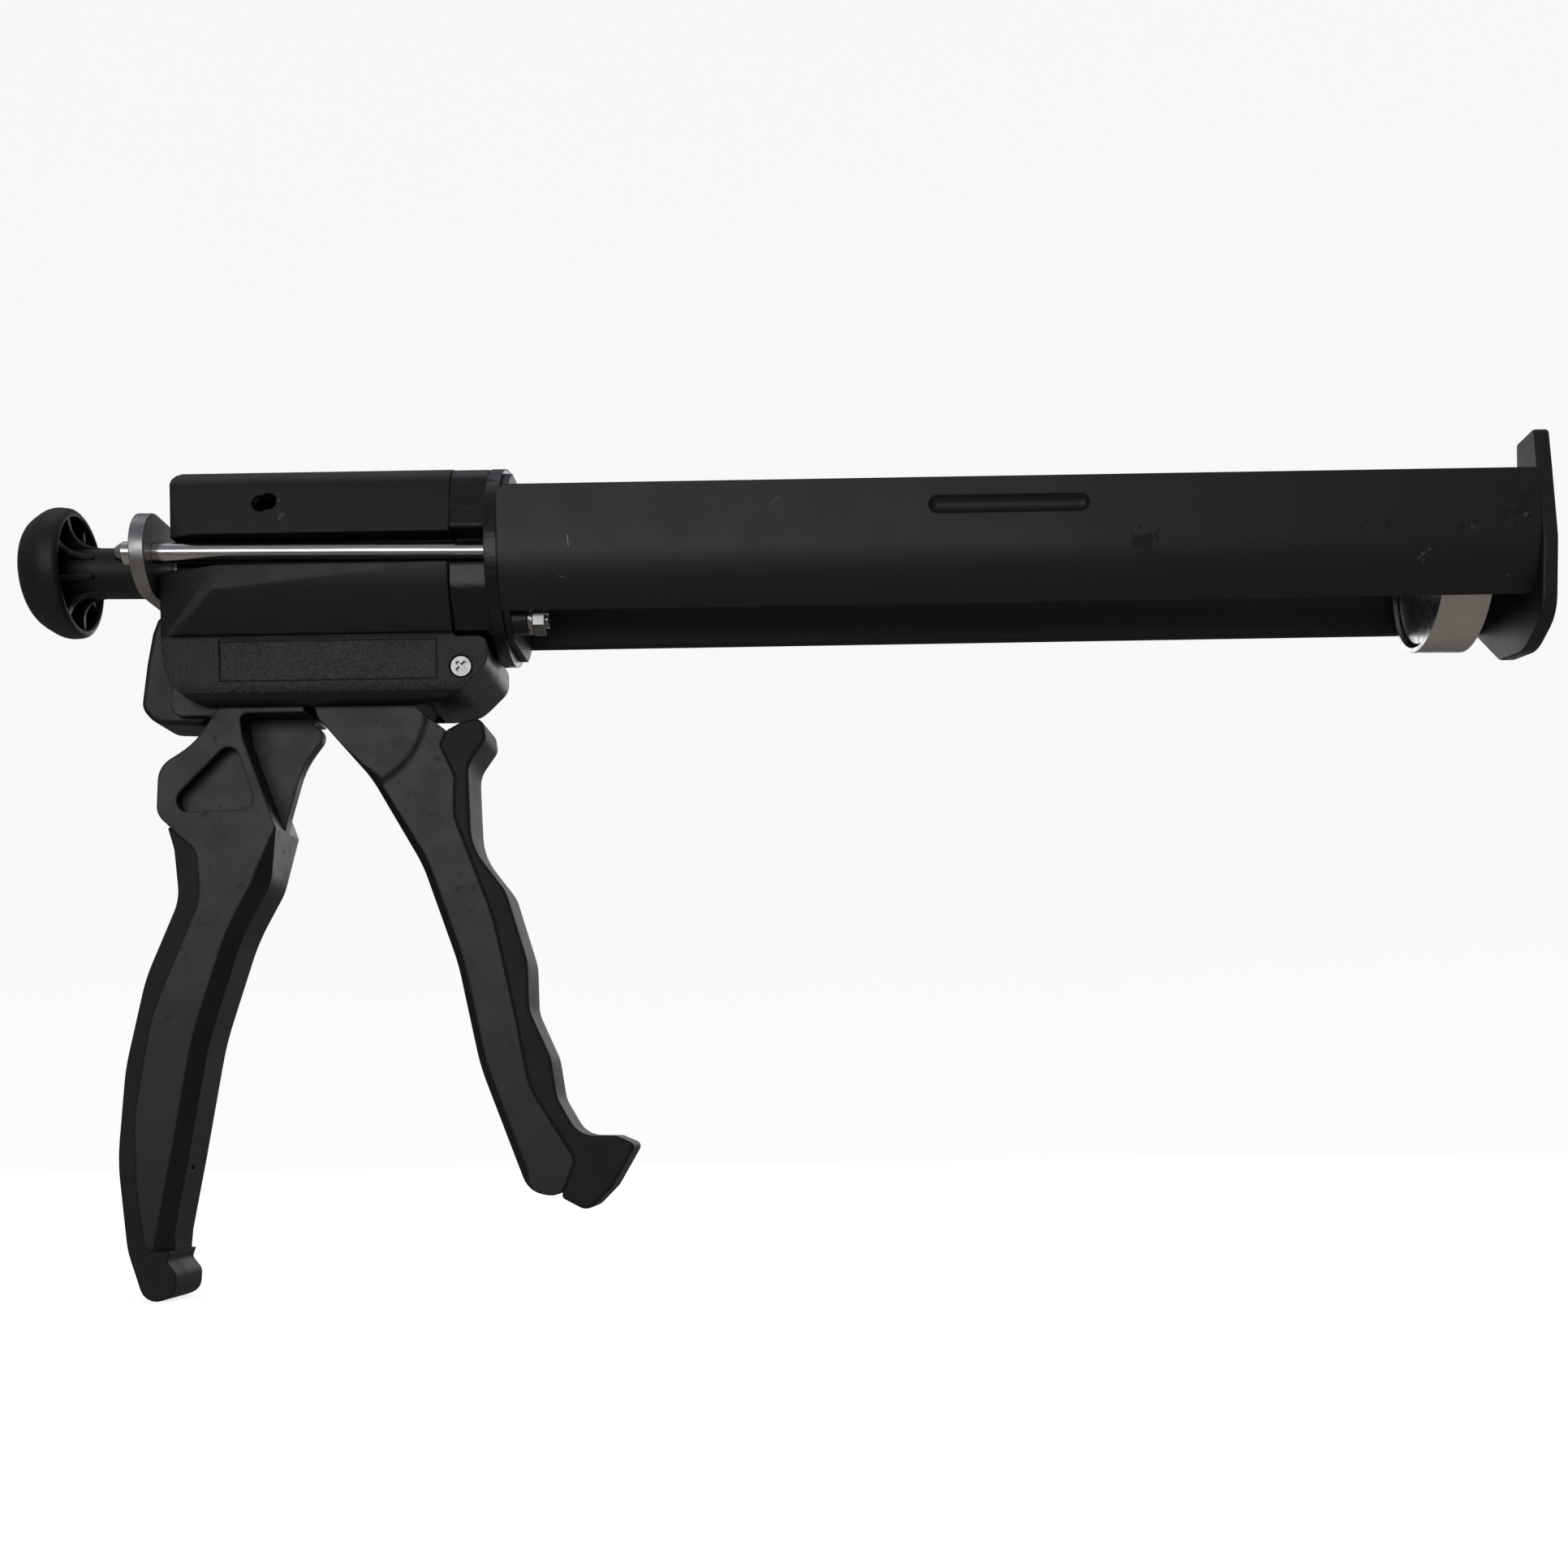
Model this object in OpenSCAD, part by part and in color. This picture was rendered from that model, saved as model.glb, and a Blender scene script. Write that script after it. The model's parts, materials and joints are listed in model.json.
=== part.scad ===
// Dual-rod cartridge gun.
// +X runs forward along the cartridge axis, +Y to the left, +Z up.
// The origin is on the cartridge axis, at the front face of the collar where the cradle starts.

/* [Cradle] */
// Length of the open cradle
cradle_len = 271; // [200:1:320]
// Outer radius of the cradle's round lower half
cradle_r = 26.2; // [25.6:0.1:30]
// Thickness of the cradle's sheet steel
sheet_t = 1.2; // [0.8:0.1:1.2]
// Height of the cradle's free upper edges above the axis
cradle_top = 14.3; // [10:0.1:18]
// Angle of the cradle's lower edges below the axis
lip_angle = 40; // [35:1:50]

/* [Front plate] */
// Thickness of the front plate
plate_t = 4; // [3:0.5:6]
// Half width of the nozzle slot
slot_r = 10.2; // [8:0.1:14]
// Height of the two prongs above the axis
prong_top = 26; // [20:0.1:40]

/* [Plunger] */
// Radius of the piston ring
piston_r = 22.5; // [20:0.1:22.5]
// Length of the piston ring
piston_len = 13.4; // [8:0.1:20]
// Radius of the two side rods
side_rod_r = 2.6; // [2:0.1:3]
// Distance of each side rod from the axis
side_rod_y = 17.5; // [15:0.1:18]
// Radius of the central drive rod
drive_rod_r = 4; // [3.5:0.1:4.5]
// Nose-down lean of the plunger in its guides, in degrees
lean = 0.7; // [0:0.1:0.8]
// Where the leaning plunger's axis crosses the cartridge axis
lean_x = -45; // [-60:1:-30]
// Radius of the pull knob
knob_r = 17.1; // [14:0.1:18]

/* [Housing] */
// Wall thickness of the side covers
wall = 2.5; // [2:0.1:3]
// Rear face of the side covers
housing_rear = -90; // [-100:1:-88]
// Front edge of the side covers' upper part
housing_front = -12.4; // [-16:0.1:-12]
// Top of the side covers
housing_top = 23.6; // [22:0.1:25]
// Underside of the side covers
housing_bottom = -39; // [-42:0.5:-38]

/* [Handle and trigger] */
// Thickness of the rear handle
handle_t = 22; // [18:0.5:24]
// Thickness of the trigger lever
trigger_t = 21; // [16:0.5:21]
// Thickness of the handle's front web
web_t = 4; // [3:0.5:8]
// Depth of the thumb recess in the handle's faces
thumb_depth = 4; // [2:0.5:6]
// Depth of the step in the trigger's faces
trigger_step_d = 1.2; // [0.5:0.1:2]
// Trigger pivot, along the gun
pivot_x = -17.5; // [-18:0.5:-17]
// Trigger pivot, below the axis
pivot_z = -27.5; // [-28:0.5:-27]
// Radius of the trigger's pivot sleeve
pivot_r = 3.5; // [3:0.1:4]

/* [Hidden] */

$fn = 64;
eps = 0.01;
// Clearance of a running fit, on the radius
run_gap = 0.06;
// Gap left between pieces that only sit beside each other
gap = 0.3;
// Half the gap of the seam between the two covers
seam = 0.1;

black = [0.07, 0.07, 0.08];
soft_black = [0.1, 0.1, 0.1];
zinc = [0.75, 0.76, 0.78];

collar_face = 0.9;
collar_back = -12;
flange_back = -2.6;
cradle_front = collar_face + cradle_len;
inner_r = cradle_r - sheet_t;
yoke_front = housing_rear - 1;
yoke_t = 4;
yoke_rear = yoke_front - yoke_t;
yoke_r = 11;
piston_rear = 248.6;
plunger_front = piston_rear + piston_len;
knob_rear = -131;
knob_front = -117.2;
shaft_r = 6.7;
rod_head_r = 3;
bolt_y = 14;
bolt_z = 18;
// Pivots of the brake plate and of the release lever, as [x, z]
brake_pivot = [-79, 16];
release_pivot = [-86, -37.5];
release_pin_y = 9.8;
eye_r = 3;
// The handle's upright, which holds the rear bush
upright_rear = -73.5;
upright_front = -67;
// Rear face of the pair of grip plates, and the thickness of the pair
grip_x = -42;
plate_pair_t = 6;
// The collar's hub plates, on each side of the trigger
hub_in = trigger_t / 2 + 0.8;
hub_out = 14.2;
// The cover screws, and the inner and outer faces of their heads
screw_x = -10.6;
screw_z = -30.4;
cover_screw_y = 15.6;
cover_screw_out = 17;
// The nose of the trigger's fork, which pushes the grip plates
fork_in = 6;
fork_out = 9.5;
nose_r = 3;
nose_x = grip_x - nose_r - gap;

// ---------- helpers ----------

function unit(v) = v / norm(v);
function cross2(a, b) = a[0] * b[1] - a[1] * b[0];

// The arc that rounds corner q between its neighbours p and s with radius r
function fillet(p, q, s, r, n) =
    let (
        a = unit(p - q),
        b = unit(s - q),
        half = acos(a * b) / 2,
        start = q + a * r / tan(half),
        c = q + unit(a + b) * r / sin(half),
        from = atan2(start[1] - c[1], start[0] - c[0]),
        turn = sign(cross2(q - p, s - q)) * (180 - 2 * half)
    )
    [for (i = [0:n]) c + r * [cos(from + turn * i / n), sin(from + turn * i / n)]];

function xy(c) = [c[0], c[1]];

// A closed outline from corners given as [x, z, radius]
function outline(corners, n = 5) =
    let (count = len(corners))
    [for (i = [0:count - 1])
        let (
            p = corners[(i + count - 1) % count],
            q = corners[i],
            s = corners[(i + 1) % count]
        )
        each (q[2] > 0 ? fillet(xy(p), xy(q), xy(s), q[2], n) : [xy(q)])];

// Extrudes an XZ outline between two Y positions
module side_plate(points, y0, y1) {
    translate([0, y1, 0]) rotate([90, 0, 0]) linear_extrude(y1 - y0) polygon(points);
}

// Extrudes a YZ section between two X positions
module section(points, x0, x1) {
    translate([x0, 0, 0]) rotate([90, 0, 90]) linear_extrude(x1 - x0) polygon(points);
}

// A round bar along X
module bar_x(r, x0, x1) {
    translate([x0, 0, 0]) rotate([0, 90, 0]) cylinder(r = r, h = x1 - x0);
}

// A round bar along Y at a point of the XZ plane
module bar_y(r, x, z, y0, y1) {
    translate([x, y0, z]) rotate([-90, 0, 0]) cylinder(r = r, h = y1 - y0);
}

// Cuts a pocket of the given depth into both faces of the handle
module both_faces(depth) {
    for (side = [-1, 1])
        translate([0, side * (handle_t / 2 - depth / 2 + eps), 0]) rotate([90, 0, 0])
            linear_extrude(depth + 2 * eps, center = true) children();
}

// A block between two corners
module block(low, high) {
    translate(low) cube(high - low);
}

// The plunger and its guides lean a little, nose down, about lean_x
module leaning() {
    translate([lean_x, 0, 0]) rotate([0, lean, 0]) translate([-lean_x, 0, 0]) children();
}

// The left piece is the mirror of the right one
module left() {
    mirror([0, 1, 0]) children();
}

// A compression spring along X, swept as a round wire
module coil(x0, x1, r, wire, turns, steps = 14) {
    sides = 6;
    rings = turns * steps;
    points = [for (i = [0:rings], j = [0:sides - 1])
        let (
            a = 360 * i / steps,
            b = 360 * j / sides,
            rr = r + wire * cos(b)
        )
        [x0 + wire + (x1 - x0 - 2 * wire) * i / rings + wire * sin(b), rr * cos(a), rr * sin(a)]];
    walls = [for (i = [0:rings - 1], j = [0:sides - 1])
        let (k = (j + 1) % sides)
        [i * sides + j, (i + 1) * sides + j, (i + 1) * sides + k, i * sides + k]];
    ends = [
        [for (j = [0:sides - 1]) j],
        [for (j = [sides - 1:-1:0]) rings * sides + j]
    ];
    polyhedron(points, concat(walls, ends));
}

// ---------- outlines ----------

// The joint between the rear handle and its soft grip, from top to bottom
grip_joint = [
    [-88.8, -72.2, 0], [-83.4, -77, 5], [-82.6, -90, 16], [-96.2, -121, 60],
    [-101.2, -148, 40], [-101, -168, 40], [-98.9, -184.3, 3]
];

handle_corners = concat(
    [[-54, -26, 0], [-75.5, -26, 0], [-75.8, -37.4, 2], [-83.5, -48.5, 22], [-93.2, -54.4, 7],
        [-93.9, -67.2, 5]],
    grip_joint,
    [[-92.4, -184.4, 0], [-92.2, -179.5, 0], [-88.2, -160, 90], [-82, -128, 90],
        [-72.6, -100, 60], [-64.8, -86, 18], [-61.5, -68, 30], [-57, -53, 25], [-49.6, -43.4, 3],
        [-54, -42, 0]]
);

handle_grip_corners = concat(
    [[-92.4, -184.4, 0], [-93.4, -187, 1.5], [-90.8, -190.4, 3], [-91.2, -196.2, 4],
        [-99.2, -199.2, 4.5], [-103.9, -184, 25], [-106.1, -160, 60], [-103.6, -135, 60],
        [-97.8, -111, 50], [-88.5, -90, 14], [-89.6, -76.5, 12], [-91.5, -69.8, 0.4]],
    grip_joint
);

// Pockets in the handle's faces
thumb_recess = [[-73, -46.8, 3], [-89.6, -63.2, 3.4], [-87, -66.6, 1.5], [-67, -66.2, 3]];
web_recess = [
    [-71.4, -40.4, 2], [-70.6, -47, 8], [-66.6, -58.3, 0], [-61.6, -72.6, 1], [-54, -60, 0],
    [-45, -40.4, 0]
];

// The joint between the trigger and its soft grip, from top to bottom
trigger_joint = [
    [-16.4, -45.6, 0], [-18.2, -49.4, 2], [-14.3, -58, 6], [-14.8, -68.5, 12],
    [-4.6, -96, 60], [1.2, -124, 60], [4.4, -142, 20], [16.4, -161.5, 3]
];

trigger_corners = concat(
    [[-51.6, -38.4, 0]],
    [[-50.4, -42, 4], [-37, -57.6, 30], [-23.6, -81.5, 40], [-14.6, -108, 60],
        [-9, -136, 60], [3.4, -170, 8], [12.5, -171.6, 4]],
    [for (i = [len(trigger_joint) - 1:-1:0]) trigger_joint[i]],
    [[-25.4, -38.4, 3]]
);

trigger_grip_corners = concat(
    trigger_joint,
    [[12.5, -171.6, 0], [19.8, -175.6, 3.5], [26.4, -169, 6], [33, -157.6, 1.6],
        [27.6, -155.2, 1.5], [17.6, -155, 7], [12, -145, 8], [10.4, -134, 12], [4.8, -121, 9],
        [4.6, -108, 16], [-1, -89, 10], [-10, -77, 16], [-10.6, -55, 8], [-5.6, -48, 3],
        [-6.4, -42, 2.6], [-12.4, -43.4, 2]]
);

// Outer edge of a side cover, seen from the side
cover_corners = [
    [-86.5, housing_top, 5], [housing_front, housing_top, 0], [housing_front, -22.4, 1],
    [-3.6, -22.4, 2.4], [-3.6, -29.4, 5], [-11.4, -37, 6], [-19, housing_bottom, 12],
    [housing_rear + 1.6, housing_bottom, 12], [housing_rear, -22, 4], [housing_rear, -4, 0],
    [-86.5, -4, 0]
];

// Room inside a cover, seen from the side
room_corners = [
    [-84, housing_top - wall, 3], [housing_front + 8, housing_top - wall, 0],
    [housing_front + 8, -22, 0], [-5.4, -22, 0], [-5.4, -28, 3], [-11.6, -34.4, 3],
    [-19, -37, 0], [-19, -50, 0], [-87.5, -50, 0], [-87.5, -6, 0], [-84, -6, 0]
];

// The collar's hub plates, which carry the trigger's pivot inside the covers
hub_corners = [
    [-28, -26, 0], [-27, -33, 5], [-20, -36, 4], [-12.4, -33.6, 4], [-6, -28, 3],
    [-6, -18, 0], [-12, -18, 0], [-20, -20.5, 3]
];

release_corners = [
    [-93.6, -13.4, 2], [-86, -13.4, 0], [-81.2, -13.4, 1.5], [-81.6, -18, 2],
    [-84, -26, 6], [-79.6, -36, 3], [-80.6, -42.9, 3], [-95, -42.4, 6], [-98.7, -38, 4],
    [-97, -26, 20], [-95.4, -18, 6]
];

// Ears of the handle that carry the release lever's pin
release_ear = [
    [-89.6, -41, 3], [-74.8, -41, 0], [-74.8, -26, 0], [-82, -26, 6], [-89.6, -33.5, 4]
];

// Half of the housing's section, from the top to the underside; w is the depth inside the face
function cover_section(w) = [
    [0, housing_top - w], each fillet([0, housing_top - w], [-17.5 + w * 0.8, housing_top - w],
        [-20.8 + w, 4.4], 9 - w, 6),
    [-20.8 + w, 4.4 + w], [-13.4 + w, 4.4 + w], [-13.4 + w, -4.8 - w], [-24.2 + w, -4.8 - w],
    [-23.4 + w, -11], [-18.5 + w, -21.4 + w / 2], [-17 + w, -21.4 + w / 2],
    each fillet([-17 + w, -21.4], [-17 + w, housing_bottom + w], [0, housing_bottom + w],
        5.5 - w, 5),
    [0, housing_bottom + w]
];

// ---------- housing ----------

module rod_tunnel(r, x0, x1) {
    leaning() bar_x(r, x0, x1);
}

module handle_frame() {
    color(black) difference() {
        union() {
            side_plate(outline(handle_corners), -handle_t / 2, handle_t / 2);
            // Upright that carries the rear bush and the brake plate's pin
            block([-75, -8, -30], [upright_front, 8, 19]);
            side_plate(outline([[-76, 8.2, 0], [-84, 12, 0], [-84, 20, 2], [upright_front, 20, 0],
                [upright_front, 8.2, 0]]), -12, 12);
            for (side = [-1, 1])
                side_plate(outline(release_ear), side * 9.6 - 1.1, side * 9.6 + 1.1);
        }
        both_faces(thumb_depth) polygon(outline(thumb_recess));
        both_faces((handle_t - web_t) / 2) polygon(outline(web_recess));
        // Slots for the brake plate and for the release lever
        block([-90, -8.9, -18.5], [upright_rear, 8.9, 21]);
        block([-90, -8.6, -44], [-76, 8.6, -18]);
        rod_tunnel(6, -90, -60);
        bar_y(1.5, brake_pivot[0], brake_pivot[1], -13, 13);
        bar_y(2, release_pivot[0], release_pivot[1], -release_pin_y, release_pin_y);
        // Blind hole in the front of the handle
        translate([0, -2.5, -162]) bar_x(0.9, -94.5, -85);
    }
}

module handle_grip() {
    color(soft_black) side_plate(outline(handle_grip_corners), -handle_t / 2 + 0.6,
        handle_t / 2 - 0.6);
}

// The solid outer form of the right cover
module cover_block() {
    difference() {
        intersection() {
            section(concat(cover_section(0), [[-seam, housing_bottom], [-seam, housing_top]]),
                housing_rear - 1, 4);
            side_plate(outline(cover_corners), -40, -seam);
        }
        rear_taper(0);
    }
}

// All that lies outside a plane w inside the right cover's tapered rear
module rear_taper(w) {
    translate([-72.1, -24.3, 0]) rotate([0, 0, -24]) block([-60, -20, -60], [0, w, 60]);
}

// Room inside the right cover
module cover_room() {
    difference() {
        section(concat(cover_section(wall), [[1, housing_bottom + wall], [1, housing_top - wall]]),
            housing_rear + wall, 5);
        difference() {
            block([-100, -41, -60], [20, 2, 40]);
            side_plate(outline(room_corners), -40, 1);
        }
        rear_taper(wall);
    }
}

module side_cover() {
    difference() {
        union() {
            difference() {
                cover_block();
                cover_room();
            }
            // Boss that seats on the handle
            bar_y(3.5, -64, -31, -15, -handle_t / 2);
        }
        // Mouths for the trigger and handle, and for the release lever
        block([-79, -handle_t / 2, -45], [-20.4, 1, -19]);
        block([-95, -11.3, -45], [-78, 1, -11]);
        // Shallow label recess
        block([-74.4, -17.6, -33.4], [-17, -16.7, -22.2]);
        oval_hole();
        // Counterbore and hole of the cover screw
        bar_y(3.1, screw_x, screw_z, -30, -cover_screw_y);
        bar_y(1.9, screw_x, screw_z, -30, -wall);
        rod_tunnel(drive_rod_r + 1.2, -95, -80);
    }
}

// Oval hole near the top of a cover
module oval_hole() {
    bar_y(2.3, -62.2, 12.6, -30, 1);
    bar_y(2.3, -60.2, 13.2, -30, 1);
}

module side_cover_right() {
    color(black) side_cover();
}

module side_cover_left() {
    color(black) left() side_cover();
}

// Section of the collar's body, with the side rods' slots
collar_corners = [
    [0, 22.9, 0], [16.6, 22.9, 8], [21.4, 12, 8], [22.6, 4.6, 0.6], [14, 4.6, 0], [14, -5, 0],
    [23.6, -5, 0.6], [23.2, -12, 8], [17, -21.6, 3], [0, -21.6, 0]
];

module front_collar() {
    half = outline(collar_corners, 4);
    color(black) difference() {
        union() {
            section(concat(half, [for (i = [len(half) - 1:-1:0]) [-half[i][0], half[i][1]]]),
                collar_back, flange_back + eps);
            bar_x(26, flange_back, collar_face);
            // Hub between the covers, on each side of the trigger
            side_plate(outline(hub_corners), -hub_out, -hub_in);
            side_plate(outline(hub_corners), hub_in, hub_out);
        }
        // Passages of the side rods
        for (side = [-1, 1])
            block([-14, side * side_rod_y - 3.9, -5], [3, side * side_rod_y + 3.9, 4.6]);
        rod_tunnel(7.5, -14, 3);
        rod_tunnel(8.2, -14, -8.8);
        at_bolts() {
            bar_x(2, -14, 3);
            bar_x(3.3, -14, -9);
        }
        bar_y(pivot_r, pivot_x, pivot_z, -20, 20);
        bar_y(1.5, screw_x, screw_z, -20, 20);
    }
}

module cover_screw() {
    difference() {
        union() {
            bar_y(2.7, screw_x, screw_z, -cover_screw_out, -cover_screw_y);
            bar_y(1.5, screw_x, screw_z, -cover_screw_y - eps, -hub_in);
        }
        // Cross recess
        for (turn = [45, 135])
            translate([screw_x, -cover_screw_out, screw_z]) rotate([0, turn, 0])
                cube([3.2, 1.6, 0.8], center = true);
    }
}

module cover_screws() {
    color(zinc) {
        cover_screw();
        left() cover_screw();
    }
}

module rod_bush(x0, x1, r) {
    leaning() difference() {
        bar_x(r, x0, x1);
        bar_x(drive_rod_r + run_gap, x0 - 1, x1 + 1);
    }
}

module rod_bush_front() {
    color("tan") rod_bush(-8.8, 0.6, 7.5);
}

module rod_bush_rear() {
    color("tan") rod_bush(upright_rear, upright_front, 6);
}

// ---------- cradle ----------

bead_r = 2.6;

// Section of the right wall: a flat upper part that turns into an arc below the axis
function wall_side(r) = [for (i = [0:12])
    let (a = lip_angle * i / 12)
    [-r * cos(a), -r * sin(a)]];

// A rod with round ends whose edge forms the pressed bead
module bead(r) {
    translate([0, -cradle_r - 1.1, 7.2]) {
        bar_x(r, 115.4, 152.6);
        translate([115.4, 0, 0]) sphere(r = r);
        translate([152.6, 0, 0]) sphere(r = r);
    }
}

module cradle_wall() {
    profile = concat([[-cradle_r, cradle_top]], wall_side(cradle_r),
        [for (i = [12:-1:0]) wall_side(inner_r)[i]], [[-inner_r, cradle_top]]);
    difference() {
        union() {
            intersection() {
                section(profile, collar_face, cradle_front);
                side_plate(outline([[collar_face, cradle_top, 2.7], [cradle_front, cradle_top, 0],
                    [cradle_front, -30, 0], [collar_face, -30, 0]]), -30, 0);
            }
            // Back of the pressed bead
            intersection() {
                bead(bead_r + 0.8);
                block([0, -cradle_r + eps, 0], [300, 0, 12]);
            }
        }
        bead(bead_r);
    }
}

module cradle_wall_right() {
    color(black) cradle_wall();
}

module cradle_wall_left() {
    color(black) left() cradle_wall();
}

module cradle_rear_plate() {
    color(black) difference() {
        bar_x(inner_r - 0.05, collar_face, collar_face + 2);
        for (side = [-1, 1])
            block([0, side * side_rod_y - 3.9, -5], [5, side * side_rod_y + 3.9, 4.6]);
        leaning() bar_x(drive_rod_r + 0.8, -2, 6);
        for (side = [-1, 1])
            translate([0, side * bolt_y, side * bolt_z]) bar_x(2, -2, 6);
        // The plate is cut away below the cradle's lower edges and above its upper ones
        block([0, -30, -30], [5, 30, -22.5]);
        block([0, -30, 22.5], [5, 30, 30]);
    }
}

// Places its children on each of the two cradle bolts
module at_bolts() {
    for (side = [-1, 1])
        translate([0, side * bolt_y, side * bolt_z]) children();
}

module cradle_spacers() {
    color(black) at_bolts() difference() {
        bar_x(3.6, collar_face + 2, 7.2);
        bar_x(2.2, 0, 9);
    }
}

module cradle_washers() {
    color(zinc) at_bolts() difference() {
        bar_x(3.5, 7.2, 8.5);
        bar_x(2.1, 6, 10);
    }
}

module cradle_bolts() {
    color(zinc) at_bolts() union() {
        bar_x(1.95, -12 + eps, 12.6);
        bar_x(3.2, -12, -9);
    }
}

module cradle_nuts() {
    color(zinc) at_bolts() difference() {
        translate([8.5, 0, 0]) rotate([0, 90, 0]) cylinder(r = 4, h = 3.2, $fn = 6);
        bar_x(1.95, 8, 12);
    }
}

// The front plate, seen from the rear: its slot, its left prong, and round to its right prong.
// Its lower left corner is cut back further than the right one.
plate_corners = [
    [-slot_r, -slot_r, slot_r - 0.1], [slot_r, -slot_r, slot_r - 0.1], [slot_r, prong_top, 1],
    [22.2, prong_top, 2], [23.8, 17, 6], [27.2, -4, 12], [22.6, -16, 6], [4, -28.4, 9],
    [-13, -30.2, 12], [-25.8, -24, 9], [-27.2, -4, 20], [-23.8, 17, 6], [-22.2, prong_top, 2],
    [-slot_r, prong_top, 1]
];

module front_plate() {
    color(black) section(outline(plate_corners, 4), cradle_front, cradle_front + plate_t);
}

// ---------- plunger ----------

module drive_rod() {
    color(zinc) leaning() union() {
        bar_x(drive_rod_r, yoke_front, piston_rear + 5);
        bar_x(2.4, piston_rear + 5 - eps, plunger_front - 1);
    }
}

module side_rod() {
    leaning() translate([0, -side_rod_y, 0]) union() {
        bar_x(side_rod_r, yoke_rear, piston_rear + 5);
        // Headed end behind the yoke plate
        bar_x(rod_head_r, yoke_rear - 3.8, yoke_rear);
        translate([yoke_rear - 5.8, 0, 0]) rotate([0, 90, 0])
            cylinder(r1 = 1.8, r2 = rod_head_r, h = 2 + eps);
    }
}

module side_rod_right() {
    color(zinc) side_rod();
}

module side_rod_left() {
    color(zinc) left() side_rod();
}

module yoke_plate() {
    half = 25.5 - yoke_r;
    color(zinc) leaning() difference() {
        union() {
            translate([0, -half, 0]) bar_x(yoke_r, yoke_rear, yoke_front);
            translate([0, half, 0]) bar_x(yoke_r, yoke_rear, yoke_front);
            block([yoke_rear, -half, -yoke_r], [yoke_front, half, yoke_r]);
        }
        for (side = [-1, 1])
            translate([0, side * side_rod_y, 0]) bar_x(side_rod_r, yoke_rear - 1, yoke_front + 1);
        bar_x(3, yoke_rear - 1, yoke_front + 1);
    }
}

module knob_shaft() {
    color(black) leaning() union() {
        bar_x(shaft_r, knob_rear + 3, yoke_rear);
        bar_x(3, yoke_rear - eps, yoke_front);
    }
}

// Half section of the knob's hollow head: distance from the axis, then position along it
knob_head = [
    [0, knob_rear, 0], [12.4, knob_rear + 0.2, 9], [knob_r + 0.4, knob_rear + 8.5, 7],
    [knob_r - 0.2, knob_front, 1.8], [14.9, knob_front - 0.1, 0.4], [15.2, knob_rear + 7, 3],
    [11, knob_rear + 3.2, 4], [0, knob_rear + 3, 0]
];

// Half section of the trumpet that the knob's ribs are cut from
knob_trumpet = [
    [0, knob_rear + 3, 0], [15.3, knob_rear + 3, 0], [15.3, knob_front - 1.4, 0],
    [8, knob_front - 1, 6], [shaft_r, knob_front + 6, 0], [0, knob_front + 6, 0]
];

module pull_knob() {
    ribs = 8;
    color(black) leaning() difference() {
        union() {
            rotate([0, 90, 0]) rotate_extrude() polygon(outline(knob_head));
            intersection() {
                rotate([0, 90, 0]) rotate_extrude() polygon(outline(knob_trumpet));
                for (i = [0:ribs - 1])
                    rotate([360 * (i + 0.5) / ribs, 0, 0])
                        block([knob_rear + 2.5, 0, -0.8], [knob_front + 6, 16, 0.8]);
            }
        }
        bar_x(shaft_r, knob_rear + 3, knob_front + 7);
    }
}

module piston_ring() {
    wall_t = 1.5;
    color(zinc) leaning() difference() {
        bar_x(piston_r, piston_rear, plunger_front);
        bar_x(piston_r - wall_t, piston_rear - 1, plunger_front - 2);
        bar_x(3, piston_rear, plunger_front + 1);
        for (side = [-1, 1])
            translate([0, side * side_rod_y, 0]) bar_x(side_rod_r - 0.9, piston_rear,
                plunger_front + 1);
    }
}

module piston_disc() {
    color(zinc) leaning() difference() {
        union() {
            bar_x(20, piston_rear + 1.4, piston_rear + 3);
            bar_x(17, piston_rear + 3 - eps, piston_rear + 5);
        }
        bar_x(drive_rod_r, piston_rear, piston_rear + 6);
        for (side = [-1, 1])
            translate([0, side * side_rod_y, 0]) bar_x(side_rod_r, piston_rear, piston_rear + 6);
    }
}

module piston_nut() {
    color(zinc) leaning() difference() {
        translate([piston_rear + 5, 0, 0]) rotate([0, 90, 0]) cylinder(r = 5.4, h = 4, $fn = 6);
        bar_x(2.4, piston_rear, plunger_front);
    }
}

// ---------- trigger ----------

// The trigger's head, inside the housing
head_corners = [
    [-50, -39, 0], [-30, -26, 4], [-24.4, -20.9, 4], [-10.8, -20.9, 6], [-10.8, -33.6, 5.6],
    [-19.5, -35.4, 0], [-25, -40, 0]
];

// One arm of the fork, which reaches up behind the grip plates
arm_corners = [
    [-24, -36, 0], [-28, -26, 0], [-37, -18, 2], [grip_x - 1, -9, 2], [grip_x - 1, 0, 0],
    [nose_x - nose_r, 0, 0], [-48.5, -12, 4], [-42, -28, 4], [-42, -36, 0]
];

module trigger_lever() {
    color(black) difference() {
        union() {
            side_plate(outline(trigger_corners), -trigger_t / 2, trigger_t / 2);
            side_plate(outline(head_corners), -trigger_t / 2, trigger_t / 2);
            fork_arm();
            left() fork_arm();
        }
        // Below a round step the trigger is a little thinner
        trigger_step();
        left() trigger_step();
        bar_y(5 + run_gap, pivot_x, pivot_z, -12, 12);
    }
}

module fork_arm() {
    side_plate(outline(arm_corners), -fork_out, -fork_in);
    bar_y(nose_r, nose_x, 0, -fork_out, -fork_in);
}

module trigger_step() {
    face = -trigger_t / 2;
    difference() {
        block([-60, face - 1, -180], [40, face + trigger_step_d, -38.2]);
        translate([-45, face - 1, -38]) rotate([-90, 0, 0])
            cylinder(r1 = 20.2, r2 = 25.2, h = trigger_step_d + 1 + eps);
        bar_y(7, pivot_x, pivot_z, -20, 0);
    }
}

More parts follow.
